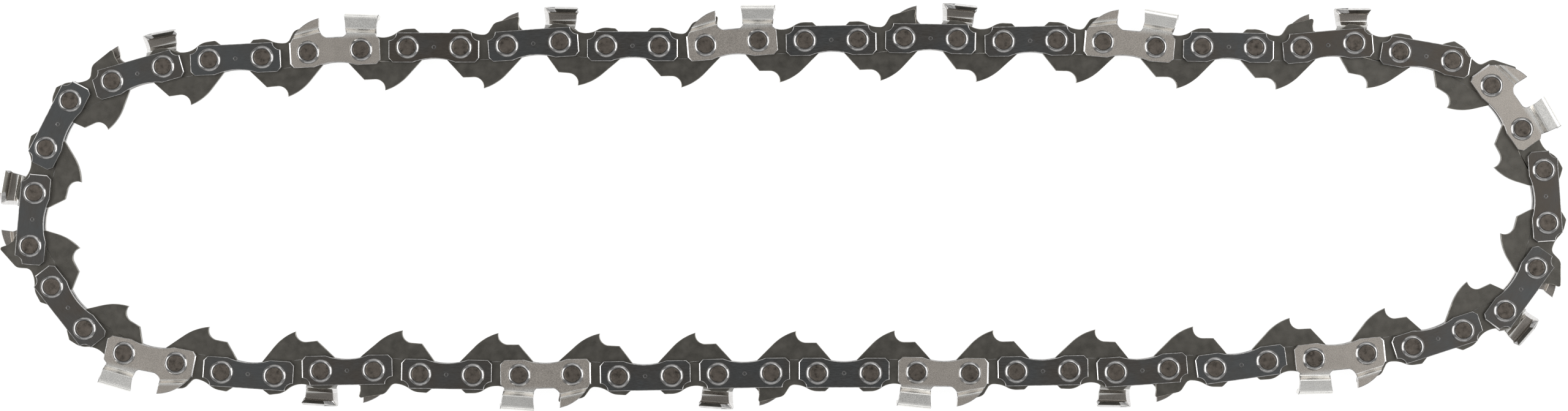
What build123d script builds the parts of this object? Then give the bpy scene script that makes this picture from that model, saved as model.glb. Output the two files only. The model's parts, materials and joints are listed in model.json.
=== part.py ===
from build123d import *
import os
from math import acos, atan2, cos, degrees, hypot, pi, radians, sin, tan

# A closed loop of low-profile saw chain that lies flat, rivets upright, with its drive tangs pointing into
# the loop. Millimetres. The origin is under the middle of the loop, on the surface that it lies on.

# Rivet spacing along the chain
SIDE_PITCH = 10.15
DRIVE_PITCH = 8.9

# Sheet thicknesses across the chain, and the room between them
DRIVE_THICKNESS = 1.27
PLATE_THICKNESS = 1.1
PLATE_CLEARANCE = 0.06

# Rivets: diameter over corners, number of sides, and how far the peened ends stand out
RIVET_DIAMETER = 4.4
RIVET_SIDES = 8
RIVET_PROUD = 0.45
RIVET_FIT = 0.02
RUNNING_CLEARANCE = 0.06

# Drive link, seen from the side: round ends about the rivets, flat-topped humps over them with shoulders that
# touch the round ends at an angle above the level, the saddle between the humps and the hooked tang
END_RADIUS = 3.6
HUMP_HEIGHT = 3.55
HUMP_SHOULDER_ANGLE = 46.18
HUMP_CORNER_RADIUS = 0.5
SADDLE_HEIGHT = 2.15
TANG_DEPTH = 8.0
TANG_TIP_X = -0.35
TANG_HEEL_DEPTH = 5.78
TANG_HEEL_START_X = -4.25
TANG_HEEL_END_X = -2.2
TANG_FLANK_X = 4.1
TANG_FLANK_DEPTH = 5.45

# Bumper drive link: the ramp that rises beside the depth gauge, with x counted from the rivet under it
RAMP_DIP_HEIGHT = 2.3
RAMP_FOOT_X = -3.4
RAMP_FOOT_HEIGHT = 2.88
RAMP_KNEE_X = -2.4
RAMP_KNEE_HEIGHT = 4.46
RAMP_KNEE_RADIUS = 1.6
RAMP_PEAK_X = 2.55
RAMP_PEAK_HEIGHT = 5.68
RAMP_PEAK_RADIUS = 0.4
RAMP_NOTCH_X = 2.3
RAMP_NOTCH_HEIGHT = 4.2
RAMP_END_ANGLE = 47

# Side plates: reach past the rivets, edges, scalloped upper corners and the waist of the lower edge
PLATE_REACH = 3.62
PLATE_TOP = 2.78
PLATE_BOTTOM = 2.92
PLATE_SCALLOP = 1.5
PLATE_CHAMFER = 0.8
WAIST_HALF_LENGTH = 4.1
WAIST_HEIGHT = 2.15

# Cutter: body edge, gullet corners and the sets of the depth gauge and the heel, outwards from the plate
CUTTER_BODY_TOP = 2.6
CUTTER_CORNER = 0.8
CUTTER_SET = 1.35
GAUGE_SET = 1.0
BEND_RISE = 0.2

# Depth gauge, with x counted from the front rivet
GAUGE_TOE_X = -3.3
GAUGE_TOE_HEIGHT = 2.0
GAUGE_CROWN_X = -0.7
GAUGE_CROWN_HEIGHT = 5.05
GAUGE_TIP_X = 2.48
GAUGE_TIP_HEIGHT = 6.4
GAUGE_DROP_X = 2.38
GAUGE_DROP_HEIGHT = 4.2
GAUGE_GULLET_X = 4.1
GAUGE_BEND_START = 3.2
GAUGE_BEND_END = 4.0
GAUGE_BEND_SLOPE = 0.2

# Heel and top plate, with x counted from the rear rivet
HEEL_GULLET_X = -3.68
HEEL_FOOT_X = -2.73
HEEL_FOOT_HEIGHT = 3.6
HEEL_HOLLOW_X = -2.68
HEEL_HOLLOW_HEIGHT = 5.0
CUTTING_TIP_X = -2.98
CUTTING_TIP_HEIGHT = 7.05
TOP_REAR_X = 3.83
TOP_REAR_HEIGHT = 6.45
HEEL_REAR_X = 3.03
HEEL_BEND_START = 3.1
HEEL_BEND_END = 4.1
TOP_THICKNESS = 1.0
TOP_WIDTH = 4.2
TOP_CORNER_RADIUS = 0.85
TOP_EDGE_ANGLE = 30

# Lay of the loop: the headings of the side links and of the drive links round it, in degrees. Every drive
# link has another that runs exactly the opposite way, and the closing side links turn a little so that the
# loop closes.
SIDE_HEADINGS = [
    16, 3, 3, 0, 4, 0, 5, 1, -1, 1, -5, -1, 5, -11, -55, -86, -123,
    -162, -174, -172, -176, -179, -181, -180, -179, -179, -179, -181, -179, -184, -191, -232, -275, -297,
]
DRIVE_HEADINGS = [
    8, 6, 3, 2, -5, 1, 0, 2, -3, -2, 0, 0, -11, -32, -62, -104, -155,
    -172, -177, -180, -182, -178, -179, -180, -178, -183, -180, -185, -174, -191, -212, -242, -284, -335,
]
CLOSING_SIDES = (14, 17)

# Runs of links that stay in line, as the numbers of their first and last links
MIDDLE_RUNS = {"top_middle_links": (15, 19), "bottom_middle_links": (49, 53)}

PLATE_IN = DRIVE_THICKNESS / 2 + PLATE_CLEARANCE
PLATE_OUT = PLATE_IN + PLATE_THICKNESS
PLATE_END = SIDE_PITCH / 2 + PLATE_REACH
FRONT_RIVET = -SIDE_PITCH / 2
REAR_RIVET = SIDE_PITCH / 2
HOLE_RADIUS = (RIVET_DIAMETER / 2 + RUNNING_CLEARANCE) / cos(pi / RIVET_SIDES)

# Hump corners, outwards from the rivet, where the shoulder reaches the height of the hump
SHOULDER = radians(HUMP_SHOULDER_ANGLE)
HUMP_CORNER_X = (END_RADIUS - HUMP_HEIGHT * sin(SHOULDER)) / cos(SHOULDER)


def tangent_angle(center, radius, point, side):
    """Angle on a circle where the line from a point outside touches it, on the side +1 or -1."""
    across, up = point[0] - center[0], point[1] - center[1]
    return degrees(atan2(up, across) + side * acos(radius / hypot(across, up)))


def clockwise_arc(center, radius, start, end):
    """Arc about a center, clockwise from the start angle to the end angle."""
    return CenterArc(center, radius, start, (end - start) % 360 - 360)


def round_corner(profile, corner, radius):
    """Rounds one corner of the outline that is being drawn."""
    fillet(profile.vertices().sort_by_distance(corner)[0], radius)


def drive_link(bumper):
    """Drive link about the middle of its two rivets, with y outwards from the loop."""
    left, right = (-DRIVE_PITCH / 2, 0), (DRIVE_PITCH / 2, 0)
    left_corner = (left[0] - HUMP_CORNER_X, HUMP_HEIGHT)
    right_corner = (right[0] + HUMP_CORNER_X, HUMP_HEIGHT)
    heel_start = (TANG_HEEL_START_X, -TANG_HEEL_DEPTH)
    heel_end = (TANG_HEEL_END_X, -TANG_HEEL_DEPTH)
    tip = (TANG_TIP_X, -TANG_DEPTH)
    flank = (TANG_FLANK_X, -TANG_FLANK_DEPTH)
    left_flank = tangent_angle(left, END_RADIUS, heel_start, -1)
    right_flank = tangent_angle(right, END_RADIUS, flank, 1)
    saddle = (0, RAMP_DIP_HEIGHT if bumper else SADDLE_HEIGHT)
    run, drop = DRIVE_PITCH / 2, HUMP_HEIGHT - saddle[1]
    saddle_radius = (run**2 + saddle[1] ** 2 - HUMP_HEIGHT**2) / (2 * drop)
    saddle_angle = degrees(atan2(saddle[1] + saddle_radius, run))
    foot = (right[0] + RAMP_FOOT_X, RAMP_FOOT_HEIGHT)
    knee = (right[0] + RAMP_KNEE_X, RAMP_KNEE_HEIGHT)
    peak = (right[0] + RAMP_PEAK_X, RAMP_PEAK_HEIGHT)
    notch = (right[0] + RAMP_NOTCH_X, RAMP_NOTCH_HEIGHT)

    with BuildPart() as link:
        with BuildSketch(Plane.XY.offset(-DRIVE_THICKNESS / 2)) as profile:
            with BuildLine():
                left_end = clockwise_arc(left, END_RADIUS, left_flank, 180 - HUMP_SHOULDER_ANGLE)
                left_hump = clockwise_arc(left, HUMP_HEIGHT, 90, saddle_angle)
                Polyline(left_end @ 1, left_corner, left_hump @ 0)
                if bumper:
                    right_end = clockwise_arc(right, END_RADIUS, RAMP_END_ANGLE, right_flank)
                    dip = TangentArc(left_hump @ 1, saddle, tangent=left_hump % 1)
                    TangentArc(saddle, foot, tangent=dip % 1)
                    Polyline(foot, knee, peak, notch, right_end @ 0)
                else:
                    right_end = clockwise_arc(right, END_RADIUS, HUMP_SHOULDER_ANGLE, right_flank)
                    right_hump = clockwise_arc(right, HUMP_HEIGHT, 180 - saddle_angle, 90)
                    ThreePointArc(left_hump @ 1, saddle, right_hump @ 0)
                    Polyline(right_hump @ 1, right_corner, right_end @ 0)
                right_edge = Line(right_end @ 1, flank)
                TangentArc(flank, tip, tangent=right_edge % 1)
                TangentArc(heel_end, tip, tangent=(1, 0))
                Polyline(heel_end, heel_start, left_end @ 0)
            make_face()
            round_corner(profile, left_corner, HUMP_CORNER_RADIUS)
            if bumper:
                round_corner(profile, knee, RAMP_KNEE_RADIUS)
                round_corner(profile, peak, RAMP_PEAK_RADIUS)
            else:
                round_corner(profile, right_corner, HUMP_CORNER_RADIUS)
            with Locations(left, right):
                RegularPolygon(HOLE_RADIUS, RIVET_SIDES, mode=Mode.SUBTRACT)
        extrude(amount=DRIVE_THICKNESS)
    return link.part


def rivet_holes():
    """Cuts both rivet holes from the plate outline that is being drawn."""
    hole_radius = RIVET_DIAMETER / 2 + RIVET_FIT
    with Locations((FRONT_RIVET, 0), (REAR_RIVET, 0)):
        RegularPolygon(hole_radius, RIVET_SIDES, mode=Mode.SUBTRACT)


def lower_edge(left_height, right_height):
    """Ends, chamfers and waisted lower edge of a side plate, from the left end's top to the right one's."""
    corner = PLATE_END - PLATE_CHAMFER
    end_foot = PLATE_CHAMFER - PLATE_BOTTOM
    waist_left, waist_right = (-WAIST_HALF_LENGTH, -PLATE_BOTTOM), (WAIST_HALF_LENGTH, -PLATE_BOTTOM)
    Polyline((-PLATE_END, left_height), (-PLATE_END, end_foot), (-corner, -PLATE_BOTTOM), waist_left)
    ThreePointArc(waist_left, (0, -WAIST_HEIGHT), waist_right)
    Polyline(waist_right, (corner, -PLATE_BOTTOM), (PLATE_END, end_foot), (PLATE_END, right_height))


def tie_strap():
    """Plain side plate on the near side of the chain."""
    shoulder = PLATE_TOP - PLATE_SCALLOP
    with BuildPart() as strap:
        with BuildSketch(Plane.XY.offset(PLATE_IN)):
            with BuildLine():
                lower_edge(shoulder, shoulder)
                right_scallop = CenterArc((PLATE_END, PLATE_TOP), PLATE_SCALLOP, 270, -90)
                left_scallop = CenterArc((-PLATE_END, PLATE_TOP), PLATE_SCALLOP, 0, -90)
                Line(right_scallop @ 1, left_scallop @ 0)
            make_face()
            rivet_holes()
        extrude(amount=PLATE_THICKNESS)
    return strap.part


def cutter_body():
    """Flat lower half of a cutter."""
    with BuildPart() as body:
        with BuildSketch(Plane.XY.offset(PLATE_IN)):
            with BuildLine():
                shoulder = CUTTER_BODY_TOP - CUTTER_CORNER
                corner = PLATE_END - CUTTER_CORNER
                lower_edge(shoulder, shoulder)
                Polyline(
                    (PLATE_END, shoulder), (corner, CUTTER_BODY_TOP),
                    (-corner, CUTTER_BODY_TOP), (-PLATE_END, shoulder),
                )
            make_face()
            rivet_holes()
        extrude(amount=PLATE_THICKNESS)
    return body.part


def bent_sheet(outline, reach, slope):
    """Sheet with the section given in y and z at x = 0, drawn out along x on a slope both ways."""
    section = Plane.YZ * make_face(Polyline(*outline, close=True))
    forward = extrude(section, amount=reach, dir=(1, slope, 0))
    return forward + extrude(section, amount=reach, dir=(-1, -slope, 0))


def depth_gauge():
    """Depth gauge at the front of a cutter, set outwards above its bend."""
    front = FRONT_RIVET
    toe = (front + GAUGE_TOE_X, GAUGE_TOE_HEIGHT)
    crown = (front + GAUGE_CROWN_X, GAUGE_CROWN_HEIGHT)
    tip = (front + GAUGE_TIP_X, GAUGE_TIP_HEIGHT)
    drop = (front + GAUGE_DROP_X, GAUGE_DROP_HEIGHT)
    gullet = (front + GAUGE_GULLET_X, CUTTER_BODY_TOP)
    root = 0
    with BuildPart() as profile:
        with BuildSketch():
            with BuildLine():
                ThreePointArc(toe, crown, tip)
                Line(tip, drop)
                TangentArc(gullet, drop, tangent=(-1, 0))
                Polyline(gullet, (gullet[0], root), (toe[0], root), toe)
            make_face()
        extrude(amount=PLATE_OUT + GAUGE_SET)
    # Heights of the bend along the gauge follow its slope from the middle of the gauge
    middle = front * GAUGE_BEND_SLOPE
    bend_start, bend_end = GAUGE_BEND_START - middle, GAUGE_BEND_END - middle
    above = GAUGE_TIP_HEIGHT - middle + PLATE_THICKNESS
    below = root - PLATE_END
    sheet = bent_sheet(
        [
            (below, PLATE_IN), (below, PLATE_OUT), (bend_start, PLATE_OUT),
            (bend_end, PLATE_OUT + GAUGE_SET), (above, PLATE_OUT + GAUGE_SET),
            (above, PLATE_IN + GAUGE_SET), (bend_end + BEND_RISE, PLATE_IN + GAUGE_SET),
            (bend_start + BEND_RISE, PLATE_IN),
        ],
        2 * PLATE_END,
        GAUGE_BEND_SLOPE,
    )
    return profile.part & sheet


def heel():
    """Rear of a cutter: the side plate set outwards and the top plate folded back over the chain."""
    rear = REAR_RIVET
    tip = (rear + CUTTING_TIP_X, CUTTING_TIP_HEIGHT)
    foot = (rear + HEEL_FOOT_X, HEEL_FOOT_HEIGHT)
    hollow = (rear + HEEL_HOLLOW_X, HEEL_HOLLOW_HEIGHT)
    gullet = (rear + HEEL_GULLET_X, CUTTER_BODY_TOP)
    top_rear = (rear + TOP_REAR_X, TOP_REAR_HEIGHT)
    heel_rear = (rear + HEEL_REAR_X, CUTTER_BODY_TOP)
    root = 0
    outer = PLATE_OUT + CUTTER_SET
    inner = outer - TOP_WIDTH
    with BuildPart() as profile:
        with BuildSketch(Plane.XY.offset(inner)):
            with BuildLine():
                TangentArc(gullet, foot, tangent=(1, 0))
                ThreePointArc(foot, hollow, tip)
                Polyline(tip, top_rear, heel_rear, (heel_rear[0], root), (gullet[0], root), gullet)
            make_face()
        extrude(amount=TOP_WIDTH)
    # The section's heights are those at the middle of the link, from where it slopes with the top plate
    slope = (TOP_REAR_HEIGHT - CUTTING_TIP_HEIGHT) / (TOP_REAR_X - CUTTING_TIP_X)
    top = CUTTING_TIP_HEIGHT - slope * tip[0]
    middle = slope * rear
    bend_start, bend_end = HEEL_BEND_START - middle, HEEL_BEND_END - middle
    below = root - PLATE_END
    sheet = bent_sheet(
        [
            (below, PLATE_IN), (below, PLATE_OUT), (bend_start, PLATE_OUT), (bend_end, outer),
            (top, outer), (top, inner), (top - TOP_THICKNESS, inner),
            (top - TOP_THICKNESS, outer - PLATE_THICKNESS),
            (bend_end + BEND_RISE, outer - PLATE_THICKNESS), (bend_start + BEND_RISE, PLATE_IN),
        ],
        2 * PLATE_END,
        slope,
    )
    top_corner = sheet.edges().filter_by(Axis.X, tolerance=abs(degrees(slope)) + 1).group_by(Axis.Z)[-1]
    sheet = fillet(top_corner.sort_by(Axis.Y)[-1:], TOP_CORNER_RADIUS)
    back = TOP_WIDTH * tan(radians(TOP_EDGE_ANGLE))
    ground = Polyline(
        (tip[0], 0, outer), (tip[0] + back, 0, inner),
        (gullet[0], 0, inner), (gullet[0], 0, outer), close=True,
    )
    clear = top - 2 * TOP_THICKNESS
    grind = Pos(0, clear, 0) * extrude(make_face(ground), amount=3 * TOP_THICKNESS, dir=(0, 1, 0))
    return (profile.part & sheet) - grind


def cutter():
    """Cutter on the near side of the chain, one folded sheet."""
    return cutter_body() + depth_gauge() + heel()


def rivet():
    """Rivet through both side plates, upright on the middle of the chain's thickness."""
    half_length = PLATE_OUT + RIVET_PROUD
    shape = RegularPolygon(RIVET_DIAMETER / 2, RIVET_SIDES)
    return extrude(Plane.XY.offset(-half_length) * shape, amount=2 * half_length)


def side_link(near_plate, far_plate):
    """The four pieces of a side link: a plate on each side and two rivets."""
    pin = rivet()
    far = mirror(far_plate, about=Plane.XY)
    return [near_plate, far, Pos(FRONT_RIVET, 0, 0) * pin, Pos(REAR_RIVET, 0, 0) * pin]


def link_pieces():
    """Pieces of each kind of link, about the link's middle."""
    strap, tooth = tie_strap(), cutter()
    return {
        "tie_link": side_link(strap, strap),
        "near_cutter_link": side_link(tooth, strap),
        "far_cutter_link": side_link(strap, tooth),
        "drive_link": [drive_link(bumper=False)],
        "bumper_link": [drive_link(bumper=True)],
    }


def link_kind(number):
    """Kind of a link, numbered from 1 round the loop: side links are odd and drive links are even."""
    station = (number + 1) // 2
    if number % 2 == 0:
        return "drive_link" if station % 2 else "bumper_link"
    if station % 2 == 0:
        return "tie_link"
    return "far_cutter_link" if station % 4 == 1 else "near_cutter_link"


def link_headings():
    """Headings of the links round the loop, side link and drive link in turn."""
    first, last = (number - 1 for number in CLOSING_SIDES)
    given = [radians(heading) for index, heading in enumerate(SIDE_HEADINGS) if index not in (first, last)]
    across, up = -sum(map(cos, given)), -sum(map(sin, given))
    middle, spread = degrees(atan2(up, across)), degrees(acos(hypot(across, up) / 2))
    sides = list(SIDE_HEADINGS)
    sides[first], sides[last] = middle + spread, middle - spread
    return [heading for pair in zip(sides, DRIVE_HEADINGS) for heading in pair]


def rivet_centers():
    """Rivet centres round the loop from the first one. Link number n runs from rivet n to the next one."""
    x = y = 0
    centers = []
    for number, heading in enumerate(link_headings(), start=1):
        centers.append((x, y))
        length = SIDE_PITCH if number % 2 else DRIVE_PITCH
        x += length * cos(radians(heading))
        y += length * sin(radians(heading))
    return centers


def node_name(number):
    """Name of the node that holds a link."""
    for name, (first, last) in MIDDLE_RUNS.items():
        if first <= number <= last:
            return name
    return f"{link_kind(number)}_{(number + 1) // 2:02d}"


def laid_out_nodes():
    """Every node's pieces where they lie, from the first rivet and about the middle of the thickness."""
    pieces = link_pieces()
    centers = rivet_centers()
    nodes = {}
    for number, heading in enumerate(link_headings(), start=1):
        start, end = centers[number - 1], centers[number % len(centers)]
        middle = ((start[0] + end[0]) / 2, (start[1] + end[1]) / 2, 0)
        place = Location(middle, (0, 0, heading))
        placed = [place * piece for piece in pieces[link_kind(number)]]
        nodes.setdefault(node_name(number), []).extend(placed)
    return nodes


def rest_offset(nodes):
    """Move that sets the loop on the surface, with its box about the origin."""
    box = Compound([piece for pieces in nodes.values() for piece in pieces]).bounding_box()
    center = box.center()
    return Pos(-center.X, -center.Y, -box.min.Z)


def main():
    os.makedirs("parts", exist_ok=True)
    nodes = laid_out_nodes()
    move = rest_offset(nodes)
    for name, pieces in nodes.items():
        export_step(Compound([move * piece for piece in pieces]), f"parts/{name}.step")


if __name__ == "__main__":
    main()
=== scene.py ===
import json
from math import acos, atan2, cos, degrees, hypot, pi, radians, sin, tan

import bmesh
import bpy
from bpy.props import FloatProperty, FloatVectorProperty, PointerProperty
from mathutils import Matrix, Vector
from mathutils.geometry import tessellate_polygon


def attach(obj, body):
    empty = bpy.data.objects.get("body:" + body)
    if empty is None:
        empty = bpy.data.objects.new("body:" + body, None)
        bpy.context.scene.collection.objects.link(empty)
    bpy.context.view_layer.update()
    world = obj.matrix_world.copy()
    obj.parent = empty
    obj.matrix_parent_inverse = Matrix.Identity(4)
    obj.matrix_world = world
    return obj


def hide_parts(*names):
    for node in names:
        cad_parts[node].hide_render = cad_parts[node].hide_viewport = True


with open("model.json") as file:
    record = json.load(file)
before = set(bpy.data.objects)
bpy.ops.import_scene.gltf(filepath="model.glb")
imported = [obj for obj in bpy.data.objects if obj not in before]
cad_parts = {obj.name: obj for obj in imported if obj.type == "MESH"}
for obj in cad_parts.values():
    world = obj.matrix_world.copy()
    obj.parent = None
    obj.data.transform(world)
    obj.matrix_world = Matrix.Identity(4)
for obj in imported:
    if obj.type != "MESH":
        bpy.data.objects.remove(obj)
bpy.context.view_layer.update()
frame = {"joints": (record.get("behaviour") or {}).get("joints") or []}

bl_info = {
    "name": "Saw chain loop",
    "version": (1, 0, 0),
    "blender": (4, 5, 0),
    "location": "3D View > Sidebar > Saw chain",
    "description": "Dresses the links of a closed saw chain loop that lies on a pale table",
    "category": "Add Mesh",
}

# Lengths below are in millimetres unless said otherwise, in each link's own axes: x along the
# chain, y outwards from the loop and z up from the middle of the chain's thickness. The frame is
# in metres.
MM = 0.001

# Points nearer than this are taken as one, and cuts nearer to a corner than this go through it
TOUCH = 0.001
CUT_TOUCH = 0.0001

# Rivet spacing, and the headings of the side links and of the drive links round the loop, in
# degrees. The closing side links turn a little so that the loop closes.
SIDE_PITCH = 10.15
DRIVE_PITCH = 8.9
SIDE_HEADINGS = [
    16, 3, 3, 0, 4, 0, 5, 1, -1, 1, -5, -1, 5, -11, -55, -86, -123,
    -162, -174, -172, -176, -179, -181, -180, -179, -179, -179, -181, -179,
    -184, -191, -232, -275, -297,
]
DRIVE_HEADINGS = [
    8, 6, 3, 2, -5, 1, 0, 2, -3, -2, 0, 0, -11, -32, -62, -104, -155,
    -172, -177, -180, -182, -178, -179, -180, -178, -183, -180, -185, -174,
    -191, -212, -242, -284, -335,
]
CLOSING_SIDES = (14, 17)
MIDDLE_RUNS = {"top_middle_links": (15, 19), "bottom_middle_links": (49, 53)}

# Heights of the sheet faces above and below the middle
DRIVE_FACE = 0.635
PLATE_IN = 0.695
PLATE_OUT = 1.795
PLATE_THICKNESS = PLATE_OUT - PLATE_IN

# Drive link: round ends and flat-topped humps about the rivets, the saddle between them, the
# hooked tang and the line that it is coined along
END_RADIUS = 3.6
HUMP_HEIGHT = 3.55
HUMP_CORNER_X = 1.5
HUMP_CORNER_RADIUS = 0.5
SADDLE_HEIGHT = 2.15
TANG_TIP = (-0.35, -8.0)
TANG_HEEL_START = (-4.25, -5.78)
TANG_HEEL_END = (-2.2, -5.78)
TANG_FLANK = (4.1, -5.45)
COIN_LINE = -2.45
COIN_TONGUE = 0.4
COIN_TONGUE_INSET = 0.5
DRIVE_HOLE_RADIUS = 2.32
DRIVE_HOLES = [((x, 0), DRIVE_HOLE_RADIUS) for x in (-DRIVE_PITCH / 2, DRIVE_PITCH / 2)]

# Bumper ramp, with x counted from the rivet under it
RAMP_DIP_HEIGHT = 2.3
RAMP_FOOT = (-3.4, 2.88)
RAMP_KNEE = (-2.4, 4.46)
RAMP_KNEE_RADIUS = 1.6
RAMP_PEAK = (2.55, 5.68)
RAMP_PEAK_RADIUS = 0.4
RAMP_NOTCH = (2.3, 4.2)
RAMP_END_ANGLE = 47

# Side plates, which reach past their rivets by the overhang
FRONT_RIVET = -SIDE_PITCH / 2
REAR_RIVET = SIDE_PITCH / 2
PLATE_OVERHANG = 3.62
PLATE_END = REAR_RIVET + PLATE_OVERHANG
PLATE_TOP = 2.78
PLATE_BOTTOM = 2.92
PLATE_SCALLOP = 1.5
PLATE_CHAMFER = 0.8
WAIST_HALF_LENGTH = 4.1
WAIST_HEIGHT = 2.15
PLATE_HOLE_RADIUS = 2.22
PLATE_HOLES = [((x, 0), PLATE_HOLE_RADIUS) for x in (FRONT_RIVET, REAR_RIVET)]

# Cutter body and the depth gauge, with x counted from the front rivet
CUTTER_BODY_TOP = 2.6
CUTTER_CORNER = 0.8
GAUGE_SET = 1.0
GAUGE_TOE = (-3.3, 2.0)
GAUGE_CROWN = (-0.7, 5.05)
GAUGE_TIP = (2.48, 6.4)
GAUGE_DROP = (2.38, 4.2)
GAUGE_GULLET_X = 4.1
GAUGE_BEND = (3.2, 4.0)
GAUGE_BEND_SLOPE = 0.2

# Heel and top plate, with x counted from the rear rivet
CUTTER_SET = 1.35
HEEL_GULLET_X = -3.68
HEEL_FOOT = (-2.73, 3.6)
HEEL_HOLLOW = (-2.68, 5.0)
CUTTING_TIP = (-2.98, 7.05)
TOP_REAR = (3.83, 6.45)
HEEL_REAR_X = 3.03
HEEL_BEND = (3.1, 4.1)
BEND_RISE = 0.2
BEND_ROUNDING = 0.3
TOP_THICKNESS = 1.0
TOP_WIDTH = 4.2
TOP_CORNER_RADIUS = 0.85
TOP_INNER_RADIUS = 0.35
TOP_EDGE_ANGLE = 30
TOP_SLOPE = (TOP_REAR[1] - CUTTING_TIP[1]) / (TOP_REAR[0] - CUTTING_TIP[0])
TOP_HEIGHT = CUTTING_TIP[1] - TOP_SLOPE * CUTTING_TIP[0]
HEEL_FACE = PLATE_OUT + CUTTER_SET
GULLET_MIDDLE = (FRONT_RIVET + GAUGE_GULLET_X + REAR_RIVET + HEEL_GULLET_X) / 2

# Levels on the unfolded heel, counted along the top plate's slope: where the side begins to turn
# into the top plate, where that is flat again, and its far edge
CORNER_START = TOP_HEIGHT - TOP_CORNER_RADIUS
CORNER_END = CORNER_START + TOP_CORNER_RADIUS * pi / 2
FLAP_END = CORNER_END + TOP_WIDTH - TOP_CORNER_RADIUS

# Thin far edge of the top plate with its rounding, and how far the bevel below it reaches back;
# that bevel is painted shade in the dark drive-link steel
UNDERCUT_EDGE = 0.5
UNDERCUT_ROUNDING = 0.4
UNDERCUT_DEPTH = 0.5

# Rivet head, from its middle outwards: radius and height above the plate, on the core and then
# on the rolled rim
RIVET_SHANK_RADIUS = 2.17
RIVET_CORE = [(0.0, 0.3), (0.7, 0.31), (1.42, 0.32), (1.52, 0.28), (1.57, 0.18)]
RIVET_RIM = [
    (1.6, 0.18), (1.63, 0.37), (1.67, 0.42), (1.71, 0.43), (1.77, 0.422), (1.85, 0.395),
    (1.96, 0.335), (2.06, 0.262), (2.14, 0.2), (2.2, 0.14), (2.24, 0.06), (2.26, 0.01),
    (RIVET_SHANK_RADIUS, 0.005),
]

# Punch mark of a strap from its rim inwards, as shares of its radius and of its depth
PUNCH_PROFILE = [(1, 0), (0.82, 1), (0.66, 1), (0.5, 0)]

# Edges: the ridge on a rounded upper edge, as shares of its width inwards and downwards, what is
# left of the rounding along a ground edge, the share of a lower bevel at which it turns, and the
# least cosine that corners are drawn in by
EASE_IN = 0.25
EASE_DOWN = 0.43
GROUND_EASE = 0.2
BEVEL_TURN = 0.3
MITRE_LEAST = 0.5

# Smoothness of round stretches: steps in an arc, round a hole and round a rivet, creases across
# a fold and round the top plate's corner, each with those before and after it, and the angle in
# degrees up to which faces are shaded as one
ARC_STEPS = 12
HOLE_STEPS = 32
RIVET_STEPS = 44
FOLD_ROWS = 9
FOLD_MARGINS = (1, 3)
CORNER_ROWS = 9
CORNER_MARGINS = (4, 5)
SMOOTH_ANGLE = 22

# Mesh attribute that keeps each point's place on its link, how far the patterns move on from link
# to link, and the values that most of a noise lies between, and most of a soft one
LINK_PLACE = "link_place"
LINK_SHIFT = 137.0
NOISE_ENDS = (0.3, 0.7)
SOFT_NOISE_ENDS = (0.35, 0.65)

# Where a painted highlight makes the plating of a cutter lighter, standing for reflected
# light: towards its heel along the chain and upwards, and in its folds
HIGHLIGHT_ALONG = (0.0, 2.5)
HIGHLIGHT_UP = (2.0, 3.3)
HIGHLIGHT_UP_END = (4.5, 4.1)
GAUGE_FOOT = GAUGE_BEND[0] - GAUGE_BEND_SLOPE * FRONT_RIVET
GAUGE_CROWN_FOLD = GAUGE_BEND[1] - GAUGE_BEND_SLOPE * FRONT_RIVET
HIGHLIGHT_GAUGE = (GAUGE_FOOT - 0.2, GAUGE_FOOT + 0.2)
HIGHLIGHT_GAUGE_END = (GAUGE_CROWN_FOLD + 0.5, GAUGE_CROWN_FOLD - 0.1)

# Tints and shades: the blued steel's patches, the painted shade of the plating inside the
# cutters, and the rivet core's blotches by a noise
WARM_TINT = (1.0, 0.9, 0.8)
COOL_TINT = (1.0, 1.06, 1.1)
INNER_SHADE = 0.52
CORE_SHADES = [(0.32, 0.35), (0.46, 0.9), (0.66, 1.45)]

# View from straight above, measured on the plane of the chain's middle
VIEW_WIDTH = 300.96
VIEW_CENTER = (-0.78, 0.45)
LENS = 100
SENSOR_WIDTH = 36

# Table: its gap below the chain, its size in metres, its glow, the share of its colour that other
# light shows, its roughness and gloss, and the size and the darker shade of its tone's noise
TABLE_GAP = 0.04
TABLE_SIZE = 12
TABLE_GLOW = 0.97
TABLE_MATT = 0.15
TABLE_ROUGHNESS = 0.85
TABLE_GLOSS = 0.1
TABLE_CLOUD = 60.0
TABLE_CLOUD_SHADE = 0.99

# Light: brightness of the surroundings by the angle from straight up in degrees, darkest where
# the camera hangs, how much the sides differ, and the soft panels about the loop, each with its
# place and size in metres and its brightness
SKY_LIGHT = [(0, 0.03), (4, 0.1), (8, 0.36), (13, 0.58), (25, 0.6), (50, 0.45), (90, 0.5)]
SIDE_LIGHT = (0.85, 1.2)
SIDE_REACH = 0.3
LIGHT_PANELS = {
    "left_panel": ((-0.8, 0.0, 0.6), (0.95, 0.7), 3.0),
    "right_panel": ((0.85, 0.0, 0.5), (0.8, 0.35), 4.0),
    "key_panel": ((0.5, 0.42, 0.85), (1.0, 0.45), 1.8),
    "back_panel": ((0.0, 0.85, 0.5), (1.2, 0.4), 0.8),
    "front_panel": ((0.0, -0.85, 0.5), (1.2, 0.4), 0.8),
}


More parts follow.
